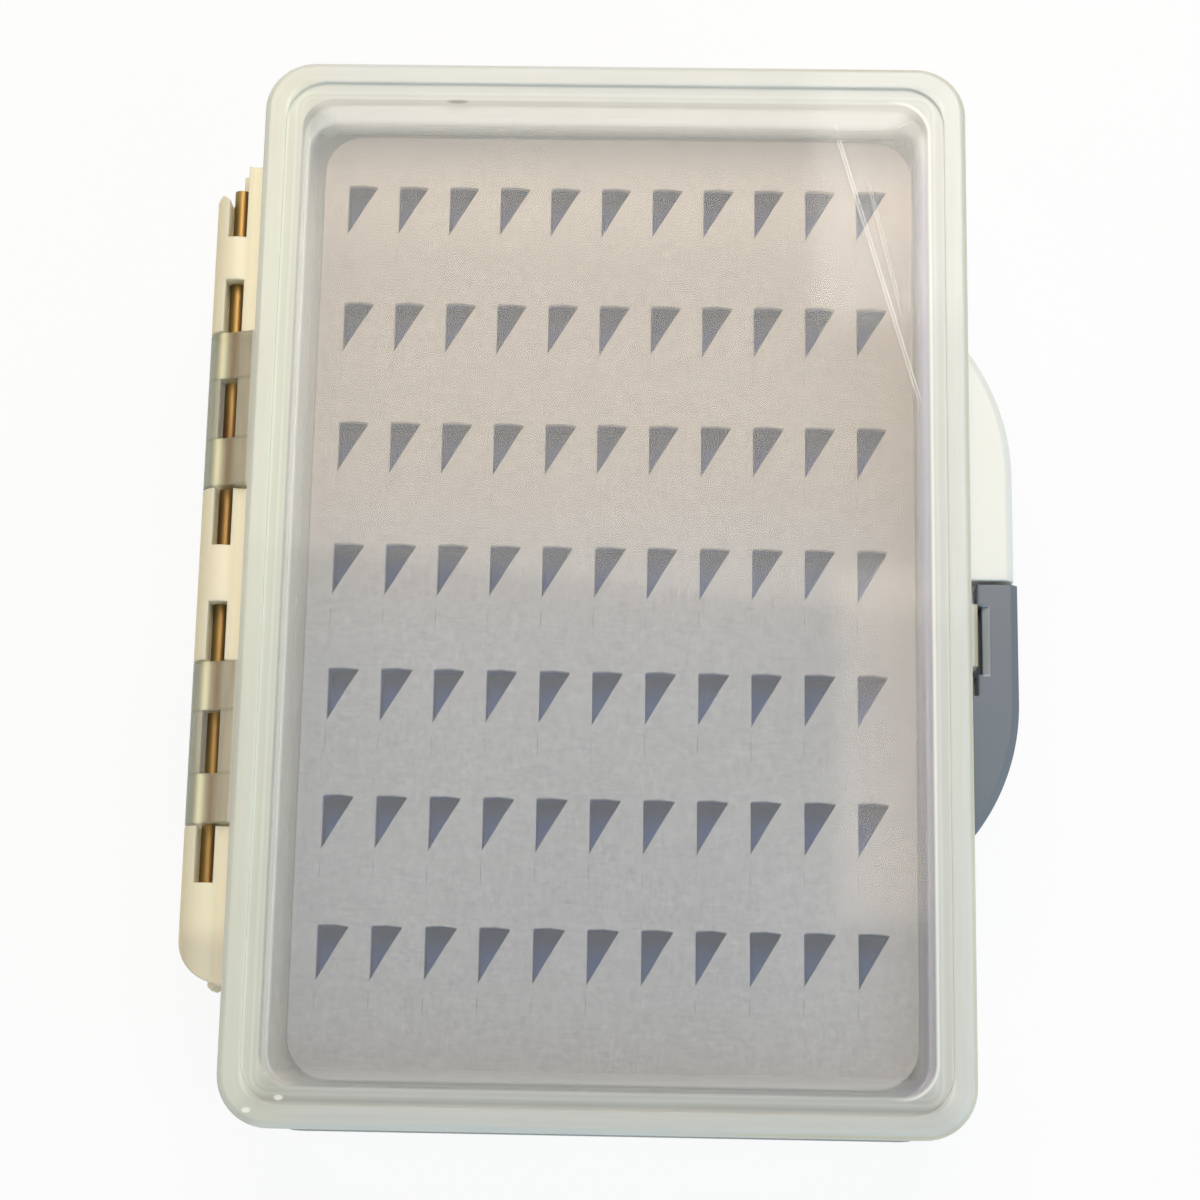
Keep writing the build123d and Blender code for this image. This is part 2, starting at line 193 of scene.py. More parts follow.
class FoamSettings(bpy.types.PropertyGroup):
    """Sizes and colours of the slit foam."""

    columns: bpy.props.IntProperty(
        name="Columns", description="Notches across the pad", default=11, min=1
    )
    rows: bpy.props.IntProperty(
        name="Rows", description="Notches along the pad", default=7, min=1
    )
    side_margin: bpy.props.FloatProperty(
        name="Side margin", description="First column from the side of the pad, mm", default=3.7
    )
    end_margin: bpy.props.FloatProperty(
        name="End margin", description="First row from the end of the pad, mm", default=10.6
    )
    notch_width: bpy.props.FloatProperty(
        name="Notch width", description="Across a notch, mm", default=4.6
    )
    notch_length: bpy.props.FloatProperty(
        name="Notch length", description="Along a notch, mm", default=7.8
    )
    notch_floor: bpy.props.FloatProperty(
        name="Notch floor", description="Foam left under a notch, mm", default=1.0
    )
    slit_length: bpy.props.FloatProperty(
        name="Slit length", description="Slit below the tip of a notch, mm", default=5.2
    )
    pattern_shift: bpy.props.FloatVectorProperty(
        name="Pattern shift", description="Notch pattern from the middle of the pad, mm",
        size=2, default=(-0.1, 2.75),
    )
    corner_radius: bpy.props.FloatProperty(
        name="Corner radius", description="Plan corners of the pad, mm", default=6.0
    )
    # The foam is warmer toward +Y and cooler toward -Y: painted warm light and painted cool light.
    colour: bpy.props.FloatVectorProperty(
        name="Foam", description="Colour of the foam skin", subtype="COLOR", size=3,
        default=(0.422, 0.369, 0.333),
    )
    cool_colour: bpy.props.FloatVectorProperty(
        name="Cooler foam", description="Foam skin toward -Y", subtype="COLOR", size=3,
        default=(0.385, 0.386, 0.412),
    )
    # Notch depths are painted shade, bluer toward -Y.
    depth_colour: bpy.props.FloatVectorProperty(
        name="Notch depths", description="Colour deep in a notch toward -Y",
        subtype="COLOR", size=3, default=(0.03, 0.10, 0.34),
    )


class PlasticSettings(bpy.types.PropertyGroup):
    """Colours of the moulded pieces."""

    white: bpy.props.FloatVectorProperty(
        name="Frame", description="White moulded frame", subtype="COLOR", size=3,
        default=(0.81, 0.81, 0.775),
    )
    rim: bpy.props.FloatVectorProperty(
        name="Lid rim", description="Milky band round a lid", subtype="COLOR", size=3,
        default=(0.674, 0.688, 0.664),
    )
    window: bpy.props.FloatVectorProperty(
        name="Lid window", description="Haze of the clear window", subtype="COLOR", size=3,
        default=(0.80, 0.80, 0.78),
    )
    window_haze: bpy.props.FloatProperty(
        name="Window haze", description="How much of the view the window hides",
        default=0.03, min=0, max=1,
    )
    latch: bpy.props.FloatVectorProperty(
        name="Latch", description="Grey latch", subtype="COLOR", size=3,
        default=(0.125, 0.15, 0.182),
    )


class StageSettings(bpy.types.PropertyGroup):
    """Camera, lamps and floor."""

    camera_place: bpy.props.FloatVectorProperty(
        name="Camera", description="Place of the camera, m", subtype="TRANSLATION", size=3,
        default=(0.00624, -0.07742, 0.36918),
    )
    camera_turn: bpy.props.FloatVectorProperty(
        name="Camera turn", description="Turn of the camera", subtype="EULER", size=3,
        default=tuple(math.radians(angle) for angle in (12.508, 0.955, 1.089)),
    )
    lens: bpy.props.FloatProperty(name="Lens", description="Focal length, mm", default=75.0)
    key_power: bpy.props.FloatProperty(
        name="Key", description="Power of the warm lamp", subtype="POWER", default=1.35
    )
    side_power: bpy.props.FloatProperty(
        name="Side", description="Power of the strip lamp on the hinge side",
        subtype="POWER", default=0.55,
    )
    fill_power: bpy.props.FloatProperty(
        name="Fill", description="Power of the cool lamp", subtype="POWER", default=2.2
    )
    edge_power: bpy.props.FloatProperty(
        name="Edges", description="Power of each low lamp that lights the edges",
        subtype="POWER", default=0.32,
    )
    sky: bpy.props.FloatProperty(
        name="Sky", description="Strength of the light from all round", default=0.26
    )


# --- shader words -----------------------------------------------------------


class Field:
    """A number that varies over a surface, with ordinary arithmetic."""

    def __init__(self, finish, socket):
        self.finish = finish
        self.socket = socket

    def math(self, operation, *others):
        values = dict(enumerate((self, *others)))
        return self.finish.add("ShaderNodeMath", {"operation": operation}, values).field(0)

    def __add__(self, other):
        return self.math("ADD", other)

    def __sub__(self, other):
        return self.math("SUBTRACT", other)

    def __mul__(self, other):
        return self.math("MULTIPLY", other)

    def __truediv__(self, other):
        return self.math("DIVIDE", other)

    def __radd__(self, other):
        return self + other

    def __rmul__(self, other):
        return self * other

    def __rsub__(self, other):
        return self * -1 + other

    def __abs__(self):
        return self.math("ABSOLUTE")

    def least(self, other):
        return self.math("MINIMUM", other)

    def most(self, other):
        return self.math("MAXIMUM", other)

    def rise(self, low, high):
        """Soft step: 0 at low, 1 at high."""
        settings = {"interpolation_type": "SMOOTHSTEP"}
        values = {"Value": self, "From Min": low, "From Max": high}
        return self.finish.add("ShaderNodeMapRange", settings, values).field("Result")

    def fall(self, low, high):
        """Soft step: 1 at low, 0 at high."""
        return 1 - self.rise(low, high)

    def line(self, place, half_width):
        """Soft line: 1 at place, 0 a half width away."""
        return abs(self - place).fall(0.0, half_width)


class Made:
    """A node just made, with its outputs as fields."""

    def __init__(self, finish, node):
        self.finish = finish
        self.node = node

    def field(self, output):
        return Field(self.finish, self.node.outputs[output])

    def socket(self, output):
        return self.node.outputs[output]


class Nodes:
    """The nodes of a material or of the world."""

    def __init__(self, owner):
        owner.use_nodes = True
        self.tree = owner.node_tree
        self.tree.nodes.clear()

    def add(self, kind, settings=None, values=None):
        """Make one node: its settings first, then the values or links of its sockets."""
        node = self.tree.nodes.new(kind)
        for name, setting in (settings or {}).items():
            setattr(node, name, setting)
        for name, value in (values or {}).items():
            value = value.socket if isinstance(value, Field) else value
            if isinstance(value, bpy.types.NodeSocket):
                self.tree.links.new(value, node.inputs[name])
            else:
                node.inputs[name].default_value = value
        return Made(self, node)

    def emission(self, colour, strength):
        values = {"Color": (*colour, 1.0), "Strength": strength}
        return self.add("ShaderNodeEmission", {}, values).socket(0)

    def background(self, colour, strength):
        values = {"Color": (*colour, 1.0), "Strength": strength}
        return self.add("ShaderNodeBackground", {}, values).socket(0)

    def seen_direct(self):
        """1 for rays from the camera, a mirror or glass."""
        path = self.add("ShaderNodeLightPath")
        seen = path.field("Is Camera Ray").most(path.field("Is Glossy Ray"))
        return seen.most(path.field("Is Transmission Ray"))

    def between(self, share, first, second):
        """Surface that goes from first to second as share goes from 0 to 1."""
        return self.add("ShaderNodeMixShader", {}, {0: share, 1: first, 2: second}).socket(0)


class Finish(Nodes):
    """One material under construction."""

    def __init__(self, name):
        self.material = bpy.data.materials.new(name)
        super().__init__(self.material)
        self.place = self.shade(self.add("ShaderNodeTexCoord").socket("Object"), 1 / MM)
        axes = self.add("ShaderNodeSeparateXYZ", {}, {0: self.place})
        self.x, self.y, self.z = (axes.field(axis) for axis in "XYZ")

    def stretched(self, x=1.0, y=1.0, z=1.0):
        """Millimetre coordinates, stretched along an axis where its factor is small."""
        values = {0: self.place, 1: (x, y, z)}
        return self.add("ShaderNodeVectorMath", {"operation": "MULTIPLY"}, values).socket(0)

    def noise(self, size, detail=2.0, roughness=0.5, place=None):
        """Even noise from 0 to 1, with features of about a size in millimetres."""
        values = {
            "Vector": place or self.place,
            "Scale": 1 / size,
            "Detail": detail,
            "Roughness": roughness,
        }
        return self.add("ShaderNodeTexNoise", {}, values).field("Fac")

    def blend(self, amount, first, second):
        """Colour that goes from first to second as amount goes from 0 to 1."""
        settings = {"data_type": "RGBA", "blend_type": "MIX"}
        values = {0: amount, 6: self.colour(first), 7: self.colour(second)}
        return self.add("ShaderNodeMix", settings, values).socket(2)

    def shade(self, colour, amount):
        """Colour or place times an amount; a colour is made darker or lighter."""
        values = {0: colour, "Scale": amount}
        return self.add("ShaderNodeVectorMath", {"operation": "SCALE"}, values).socket(0)

    @staticmethod
    def colour(value):
        return value if isinstance(value, bpy.types.NodeSocket) else (*value, 1.0)

    def bump(self, height, strength=0.3, distance=0.1, rounding=0.0):
        """Normal from a height and a rounding of the edges, both in millimetres."""
        values = {"Strength": strength, "Distance": distance * MM, "Height": height}
        if rounding:
            bevel = self.add("ShaderNodeBevel", {"samples": 6}, {"Radius": rounding * MM})
            values["Normal"] = bevel.socket(0)
        return self.add("ShaderNodeBump", {}, values).socket("Normal")

    def inset_in(self, half_width, half_length, corner, middle=0.0):
        """Inset from a rounded outline, and how much the nearest edge is an end edge."""
        side = half_width - abs(self.x - middle)
        end = half_length - abs(self.y)
        from_side = (corner - side).most(0.0)
        from_end = (corner - end).most(0.0)
        reach = (from_side * from_side + from_end * from_end).math("SQRT")
        inset = corner - reach + (side.least(end) - corner).most(0.0)
        return inset, (side - end).rise(-3.0, 3.0)

    def spot(self, place, reach):
        """A small oval spot: 1 in its middle, 0 at its edge."""
        across = (self.x - place[0]) / reach[0]
        along = (self.y - place[1]) / reach[1]
        return (across * across + along * along).fall(0.2, 1.0)

    def scratch(self, start, end):
        """A fine straight line between two places: 1 in its middle, faded at its ends."""
        way = Vector(end) - Vector(start)
        right, up = self.x - start[0], self.y - start[1]
        along = (right * way.x + up * way.y) / way.length
        off = (right * way.y - up * way.x) / way.length
        fade = along.rise(0.0, 3.0) * along.fall(way.length - 5.0, way.length)
        return off.line(0.0, SCRATCH_HALF_WIDTH) * fade

    def principled(self, values):
        return self.add("ShaderNodeBsdfPrincipled", {}, values).socket(0)

    def done(self, surface):
        self.add("ShaderNodeOutputMaterial", {}, {"Surface": surface})
        return self.material


def dress(node_name, material):
    """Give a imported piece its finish."""
    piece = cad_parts[node_name]
    piece.data.materials.clear()
    piece.data.materials.append(material)


def both(name):
    """Names of a piece of the front half and of its twin on the back half."""
    return "front_" + name, "back_" + name


def add_object(name, data):
    thing = bpy.data.objects.new(name, data)
    bpy.context.scene.collection.objects.link(thing)
    return thing


def add_mesh(name, bm):
    """Turn a finished bmesh into an object at the origin."""
    mesh = bpy.data.meshes.new(name)
    bm.to_mesh(mesh)
    bm.free()
    return add_object(name, mesh)


# --- finishes ---------------------------------------------------------------


def white_plastic(colour):
    """White frame, with painted warm light along the hinge, duller on its end block, and painted
    warm light on the outer edge of its barrels.
    """
    finish = Finish("moulded white plastic")
    flow = finish.noise(9.0, 3.0, place=finish.stretched(1.0, 0.25, 1.0))
    speck = finish.noise(0.35, 2.0)
    half = 2 * finish.z.rise(MID_HEIGHT - 0.1, MID_HEIGHT + 0.1) - 1
    end_block = (finish.y * half).fall(END_BLOCK_START - 2.0, END_BLOCK_START + 2.5)
    # Painted warm light on the hinge, duller on its end block.
    hinge = finish.blend(end_block, HINGE_WARM_LIGHT, END_BLOCK_WARM_LIGHT)
    hinge_warm_light = finish.blend(finish.x.fall(-HALF_WIDTH - 0.6, -HALF_WIDTH - 0.05), colour, hinge)
    # Painted warm light on the outer edge of the barrels.
    edge = finish.x.fall(BARREL_EDGE, BARREL_EDGE + 1.3)
    base = finish.blend(edge, hinge_warm_light, WARM_EDGE_LIGHT)
    values = {
        "Base Color": finish.shade(base, 0.97 + 0.05 * flow + 0.015 * speck),
        "Roughness": 0.42 + 0.10 * finish.noise(3.0, 2.0),
        "IOR": 1.5,
        "Subsurface Weight": 0.4,
        "Subsurface Radius": (1.0, 0.9, 0.75),
        "Subsurface Scale": 2.5 * MM,
        "Normal": finish.bump(0.6 * flow + 0.25 * speck, 0.12, 0.08, rounding=0.45),
    }
    return finish.done(finish.principled(values))


class LidFinish(Finish):
    """The lid's material under construction, with its regions as fields from 0 to 1."""

    def __init__(self):
        super().__init__("clear lid with milky rim")
        self.inset, self.at_end = self.inset_in(HALF_WIDTH, HALF_LENGTH, LID_CORNER)
        self.within, _ = self.inset_in(
            HALF_WIDTH - WINDOW_INSET, HALF_LENGTH - WINDOW_INSET, WINDOW_CORNER
        )
        self.depth = MID_HEIGHT - abs(self.z - MID_HEIGHT)
        self.skirt = self.depth.rise(SKIRT_DEPTH - 0.1, SKIRT_DEPTH + 0.1)
        self.face = 1 - self.skirt
        self.window = self.within.rise(-0.2, 0.25) * self.face
        self.lug = abs(self.x).rise(HALF_WIDTH + 0.1, HALF_WIDTH + 0.5)
        latch_side = self.x.rise(38.0, 42.0) * self.y.fall(56.0, 68.0)
        self.shaded_strip = latch_side * self.within.fall(1.2, 1.9)

    def rim_shade(self):
        """Streaks, and painted highlights and painted shade on the steps, grooves and ends, that
        run round the rim, as a factor round 1.
        """
        values = {0: self.inset, 1: 0.03 * self.x, 2: 0.03 * self.y}
        ring = self.add("ShaderNodeCombineXYZ", {}, values)
        streaks = self.noise(0.5, 2.0, place=ring.socket(0))
        # A painted highlight on the step at the sides, painted shade in the groove at the ends,
        # and two painted highlight lines.
        step = self.inset.line(RIM_STEP, 0.35) * (1 - self.at_end)
        groove = self.inset.line(RIM_GROOVE, 0.9) * self.at_end
        outer, inner = RIM_GLINTS
        glint = self.inset.line(outer, 0.35) + 0.6 * self.inset.line(inner, 0.3)
        cloud = self.noise(14.0, 3.0)
        # Painted shade on the rim's ends, darkest on the inner slope at the -Y end.
        end_band = self.at_end * (1 - self.window)
        inner_slope_shade = 0.07 + 0.12 * self.inset.rise(3.2, 3.8) + 0.10 * self.inset.line(3.7, 0.6)
        low_end = end_band * self.y.fall(-20.0, 20.0) * inner_slope_shade
        shade = 0.92 + 0.05 * cloud + 0.10 * streaks - 0.05 * groove + 0.10 * glint + 0.15 * step
        return shade - 0.05 * end_band - low_end

    def face_colour(self, rim_colour, window_colour):
        """Colour of the rim and of the window's haze, with painted warm light, painted shade,
        painted highlights and a grey scuff.
        """
        # Painted warm light on the rim's hinge side.
        rim = self.blend(self.x.fall(-47.0, -36.0), rim_colour, RIM_WARM_LIGHT)
        # Painted shade on the outer edge toward +X.
        outer = self.inset.fall(0.25, 0.70) * self.x.rise(5.0, 30.0) * self.depth.fall(0.3, 1.0)
        rim = self.blend(outer, rim, RIM_EDGE_SHADE)
        pane = self.blend(self.shaded_strip, window_colour, PANE_SHADE)
        base = self.shade(self.blend(self.window, rim, pane), self.rim_shade())
        # Painted highlights: a line at the window's edge toward +X and glints at a corner of the
        # rim.
        bright = self.within.line(-0.25, 0.35) * self.x.rise(38.0, 43.0)
        for place in GLINT_SPOTS:
            bright = bright.most(self.spot(place, (0.75, 0.45)))
        base = self.blend(0.8 * bright * self.face, base, GLINT_WHITE)
        return self.blend(0.8 * self.spot(SCUFF_SPOT, (1.9, 0.35)), base, SCUFF_GREY)

    def lug_colour(self):
        """Clear hinge lug: a painted highlight line along the barrels, and painted shade at its
        ends and edges.
        """
        along = abs(self.y)
        low, high = LUG_WINDOW
        barrel = along.fall(low - 0.1, low).most(along.rise(high, high + 0.1))
        smear = self.noise(0.8, 2.0, place=self.stretched(1.0, 0.08, 1.0))
        # A painted highlight line along the barrels.
        stripe = self.x.line(BARREL_EDGE + 2.3, 0.85) * barrel
        band = self.x.line(BARREL_EDGE + 3.9, 1.2) * barrel
        # Painted shade along the outer edge and at the ends of the barrels.
        outline = self.x.fall(BARREL_EDGE + 0.1, BARREL_EDGE + 0.9)
        for place in (*LUG_ENDS, *LUG_WINDOW):
            outline = outline.most(0.8 * along.line(place, 0.45))
        outer = self.x.fall(BARREL_EDGE + 1.2, BARREL_EDGE + 1.7)
        clear = self.blend(band, self.blend(outer, LUG_INNER, LUG_OUTER), LUG_BAND)
        clear = self.shade(clear, 0.75 + 0.5 * smear)
        return self.blend(stripe, self.blend(0.6 * outline, clear, LUG_OUTLINE_SHADE), LUG_HIGHLIGHT)

    def veil(self, haze):
        """How much of the view the window hides: more near its edges and on scratches, with
        painted light in the haze at the window's edge and at its +Y end.
        """
        worn = sum(weight * self.scratch(start, end) for start, end, weight in SCRATCHES)
        low_end = self.at_end * self.y.fall(-10.0, 10.0)
        high_end = self.at_end * self.y.rise(-10.0, 10.0)
        veil = haze + self.inset.fall(5.5, 9.0) * (0.08 + 0.08 * self.at_end)
        veil = veil + 0.85 * worn * self.face
        # A whiter strip at the window's edge, less at its ends, and more haze at the +Y end:
        # painted light.
        veil = veil + 0.23 * (1 - low_end - 0.5 * high_end) * self.within.fall(0.3, 1.2)
        veil = veil + 0.26 * high_end * self.within.fall(3.2, 5.2)
        return veil + (0.08 + 0.20 * self.y.rise(-60.0, 20.0)) * self.shaded_strip


def clear_lid(rim_colour, window_colour, haze):
    """Clear lid: milky rim and skirt, glossy window, and tinted hinge lugs."""
    lid = LidFinish()
    base = lid.blend(lid.lug, lid.face_colour(rim_colour, window_colour), lid.lug_colour())
    milky = 0.90 - 0.45 * lid.skirt
    opacity = (1 - lid.window) * milky + lid.window * lid.veil(haze)
    opacity = opacity * (1 - lid.lug) + lid.lug * 0.72
    lit_through = lid.add("ShaderNodeLightPath").field("Is Shadow Ray")
    scuff = lid.noise(2.5, 4.0, place=lid.stretched(1.0, 0.15, 1.0))
    values = {
        "Base Color": base,
        "Roughness": 0.20 + 0.10 * scuff + 0.25 * (1 - lid.window) * (1 - lid.lug),
        "IOR": 1.5,
        "Alpha": opacity * (1 - 0.75 * lit_through),
        "Subsurface Weight": 0.5,
        "Subsurface Radius": (1.0, 1.0, 0.95),
        "Subsurface Scale": 3.0 * MM,
        "Normal": lid.bump(scuff, 0.03, 0.05, rounding=0.5),
    }
    body = lid.principled(values)
    tint = {"Color": (0.92, 0.96, 1.0, 1), "Roughness": 0.06}
    gloss = lid.add("ShaderNodeBsdfGlossy", {}, tint).socket(0)
    fresnel = lid.add("ShaderNodeFresnel", {}, {"IOR": 1.20}).field(0)
    return lid.done(lid.between(fresnel * lid.face * (1 - lit_through), body, gloss))


def seal_rubber():
    finish = Finish("white seal")
    speck = finish.noise(0.5, 2.0)
    values = {
        "Base Color": finish.shade(SEAL_WHITE, 0.95 + 0.08 * speck),
        "Roughness": 0.6,
        "Normal": finish.bump(speck, 0.1, 0.05),
    }
    return finish.done(finish.principled(values))


def slit_foam(colour, cool_colour, depth_colour, corner):
    """Matt foam skin over bluish painted shade in its notches, with painted warm light toward +Y
    and painted cool light toward -Y.
    """
    finish = Finish("slit foam")
    height = abs(finish.z - MID_HEIGHT)
    top = PAD_HIGH.z - MID_HEIGHT
    across = finish.noise(0.32, 2.0, place=finish.stretched(1.0, 0.2, 0.2))
    along = finish.noise(0.32, 2.0, place=finish.stretched(0.2, 1.0, 0.2))
    grain = 0.5 * (across + along)
    mottle = finish.noise(0.9, 3.0, 0.6)
    cloud = finish.noise(25.0, 2.0)
    inset, _ = finish.inset_in(PAD_SPAN.x / 2, PAD_HIGH.y, corner, PAD_MIDDLE.x)
    # Painted light: a painted reflection toward +X and -Y, painted light on the top rows, and a
    # painted highlight along the pad's outline.
    painted_light = 0.15 * finish.x.rise(12.0, 36.0) * finish.y.fall(-40.0, -10.0)
    painted_light = painted_light + 0.19 * finish.y.rise(46.0, 60.0) + 0.07 * inset.fall(0.3, 0.9)
    grain_and_painted_light = 0.47 + 0.70 * grain + 0.30 * mottle + 0.06 * cloud + painted_light
    # Painted warm light toward +Y and painted cool light toward -Y.
    warm = finish.y.rise(-14.0, 26.0)
    skin = finish.shade(finish.blend(warm, cool_colour, colour), grain_and_painted_light)
    # The notch depths are painted shade.
    deep = finish.blend(warm, depth_colour, WARM_DEPTH_SHADE)
    values = {
        "Base Color": finish.blend(height.fall(top - 1.5, top - 0.15), skin, deep),
        "Roughness": 0.85,
        "Specular IOR Level": 0.15,
        "Normal": finish.bump(grain + 0.6 * mottle, 0.35, 0.12),
    }
    return finish.done(finish.principled(values))


def brass_pin():
    """Drawn brass with darker stains, and a painted reflection that makes a hinge pin more olive
    on its outer side and more orange on its inner side.
    """
    finish = Finish("drawn brass")
    drawn = finish.noise(0.5, 3.0, place=finish.stretched(3.0, 0.05, 3.0))
    stain = finish.noise(4.0, 3.0, place=finish.stretched(1.0, 0.3, 1.0))
    # Painted reflection: olive on the outer side of a hinge pin, orange on its inner side.
    tint = finish.blend(finish.x.rise(-54.0, -53.4), BRASS_OUTER, BRASS_INNER)
    base = finish.blend(stain.rise(0.4, 0.75), tint, BRASS_STAIN)
    values = {
        "Base Color": finish.shade(base, 0.85 + 0.3 * drawn),
        "Metallic": 1.0,
        "Roughness": 0.44 + 0.15 * drawn,
        "Normal": finish.bump(drawn, 0.15, 0.03),
    }
    return finish.done(finish.principled(values))


def grey_plastic(colour):
    """Grey latch, with painted light on the bevel that slopes to its arm."""
    finish = Finish("moulded grey plastic")
    cloud = finish.noise(8.0, 3.0)
    speck = finish.noise(0.3, 2.0)
    height = abs(finish.z - MID_HEIGHT)
    along = abs(finish.y)
    start, end = WEDGE_ENDS
    wedge = finish.x.rise(LATCH_ARM - 0.1, LATCH_ARM)
    wedge = wedge * finish.x.fall(LATCH_ARM + 0.85, LATCH_ARM + 1.0)
    wedge = wedge * height.rise(WEDGE_HEIGHT, WEDGE_HEIGHT + 0.3)
    wedge = wedge * along.rise(start, start + 0.2) * along.fall(end - 0.2, end)
    # Painted light on the bevel.
    base = finish.blend(wedge, colour, LATCH_WEDGE_LIGHT)
    values = {
        "Base Color": finish.shade(base, 0.93 + 0.08 * cloud + 0.05 * speck),
        "Roughness": 0.36 + 0.12 * cloud,
        "Normal": finish.bump(0.5 * cloud + 0.3 * speck, 0.12, 0.06, rounding=0.5),
    }
    return finish.done(finish.principled(values))


def adhesive_tape():
    finish = Finish("pad tape")
    fibre = finish.noise(0.6, 3.0)
    values = {"Base Color": finish.shade(TAPE_GREY, 0.9 + 0.2 * fibre), "Roughness": 0.7}
    return finish.done(finish.principled(values))


# --- slit foam --------------------------------------------------------------


def flat_face(bm, points):
    """Add a face at the height of the pad's top."""
    return bm.faces.new([bm.verts.new((x, y, PAD_HIGH.z)) for x, y in points])


def only(kind, parts):
    return [part for part in parts if isinstance(part, kind)]


def rounded_block(bm, corner):
    """Make the pad's block with its top left open, and return the edges of the opening."""
    base = bmesh.ops.create_grid(bm, x_segments=1, y_segments=1, size=0.5)["verts"]
    bmesh.ops.scale(bm, vec=(PAD_SPAN.x, PAD_SPAN.y, 1), verts=base)
    bmesh.ops.translate(bm, vec=(PAD_MIDDLE.x, PAD_MIDDLE.y, PAD_LOW.z), verts=base)
    bmesh.ops.bevel(
        bm, geom=base, offset=corner, offset_type="OFFSET", affect="VERTICES",
        segments=PAD_CORNER_STEPS, profile=0.5, material=-1,
    )
    raised = bmesh.ops.extrude_face_region(bm, geom=list(bm.faces), use_keep_orig=True)["geom"]
    bmesh.ops.translate(bm, verts=only(bmesh.types.BMVert, raised), vec=(0, 0, PAD_SPAN.z))
    [top] = only(bmesh.types.BMFace, raised)
    opening = list(top.edges)
    bmesh.ops.delete(bm, geom=[top], context="FACES_ONLY")
    return opening


def notch_places(foam):
    """Middles of the notches, row by row."""
    pitch_x = (PAD_SPAN.x - 2 * foam.side_margin - foam.notch_width) / (foam.columns - 1)
    pitch_y = (PAD_SPAN.y - 2 * foam.end_margin - foam.notch_length) / (foam.rows - 1)
    for row in range(foam.rows):
        for column in range(foam.columns):
            yield Vector((
                PAD_MIDDLE.x + foam.pattern_shift[0] + (column - (foam.columns - 1) / 2) * pitch_x,
                PAD_MIDDLE.y + foam.pattern_shift[1] + (row - (foam.rows - 1) / 2) * pitch_y,
            ))


def cut_notch(bm, foam, place, chance):
    """Add one notch outline, square at -X +Y and cut by hand along its slope; return its tip."""
    stray = [chance.uniform(-CUT_STRAY, CUT_STRAY) for _ in range(6)]
    left, right = -foam.notch_width / 2, foam.notch_width / 2 + stray[0]
    top, low = foam.notch_length / 2, -foam.notch_length / 2 + 2 * stray[1]
    tip = Vector((left + TIP_LEAN, low))
    points = [
        (left, top),
        (left + SIDE_BOW, (top + low) / 2),
        tip,
        (left + (right - left) * 0.34 + stray[2] / 2, low + (top - low) * 0.33),
        (left + (right - left) * 0.68 + stray[3] / 2, low + (top - low) * 0.67),
        (right, top - FAR_DROP),
        ((left + right) / 2, top + TOP_BOW + stray[4] / 2),
    ]
    corners = list(flat_face(bm, [place + Vector(point) for point in points]).verts)
    roundings = {0: SQUARE_CORNER, 5: FAR_CORNER + stray[5], 2: TIP_CORNER}
    for number, radius in roundings.items():
        bmesh.ops.bevel(
            bm, geom=[corners[number]], offset=radius, offset_type="OFFSET", affect="VERTICES",
            segments=EDGE_STEPS, profile=0.5, material=-1,
        )
    return place + tip


def cut_slit(bm, foam, tip, chance):
    """Add one slit outline that runs on from the tip of a notch."""
    length = foam.slit_length * chance.uniform(0.8, 1.05)
    lean = chance.uniform(-SLIT_LEAN, SLIT_LEAN)
    points = [
        (0, -SLIT_START),
        (-SLIT_HALF_WIDTH, -SLIT_START - length / 2),
        (lean, -SLIT_START - length),
        (SLIT_HALF_WIDTH, -SLIT_START - length / 2),
    ]
    flat_face(bm, [tip + Vector(point) for point in points])


def sink(bm, faces, lip, depth):
    """Sink faces of the pad's top to a depth, with a small slope at their edges."""
    bmesh.ops.inset_individual(bm, faces=faces, thickness=lip, depth=-lip, use_even_offset=True)
    floors = bmesh.ops.extrude_discrete_faces(bm, faces=faces)["faces"]
    verts = list({vert for face in floors for vert in face.verts})
    bmesh.ops.translate(bm, verts=verts, vec=(0, 0, lip - depth))


def foam_pad(name, foam, turned):
    """Make one slit pad; the turned one lies in the back half."""
    chance = random.Random(7 + turned)
    bm = bmesh.new()
    opening = rounded_block(bm, foam.corner_radius)
    block_faces = set(bm.faces)
    for place in notch_places(foam):
        tip = cut_notch(bm, foam, place, chance)
        cut_slit(bm, foam, tip, chance)
    cuts = [face for face in bm.faces if face not in block_faces]
    notches = [face for face in cuts if len(face.verts) > 4]
    slits = [face for face in cuts if len(face.verts) == 4]
    edges = opening + [edge for face in cuts for edge in face.edges]
    filled = bmesh.ops.triangle_fill(bm, use_beauty=True, edges=edges, normal=(0, 0, 1))["geom"]
    if not only(bmesh.types.BMFace, filled):
        raise RuntimeError("the top of %s could not be filled round its notches" % name)
    sink(bm, notches, NOTCH_LIP, PAD_SPAN.z - foam.notch_floor)
    sink(bm, slits, SLIT_LIP, SLIT_DEPTH)
    bmesh.ops.bevel(
        bm, geom=[edge for edge in opening if edge.is_valid], offset=PAD_EDGE,
        offset_type="OFFSET", affect="EDGES", segments=EDGE_STEPS, profile=0.5, material=-1,
    )
    if turned:
        turn = Matrix.Translation((0, 0, CASE_THICKNESS)) @ Matrix.Rotation(math.pi, 4, "X")
        bmesh.ops.transform(bm, matrix=turn, verts=list(bm.verts))
    bmesh.ops.scale(bm, vec=(MM, MM, MM), verts=list(bm.verts))
    bmesh.ops.recalc_face_normals(bm, faces=list(bm.faces))
    return add_mesh(name, bm)


# --- operators --------------------------------------------------------------


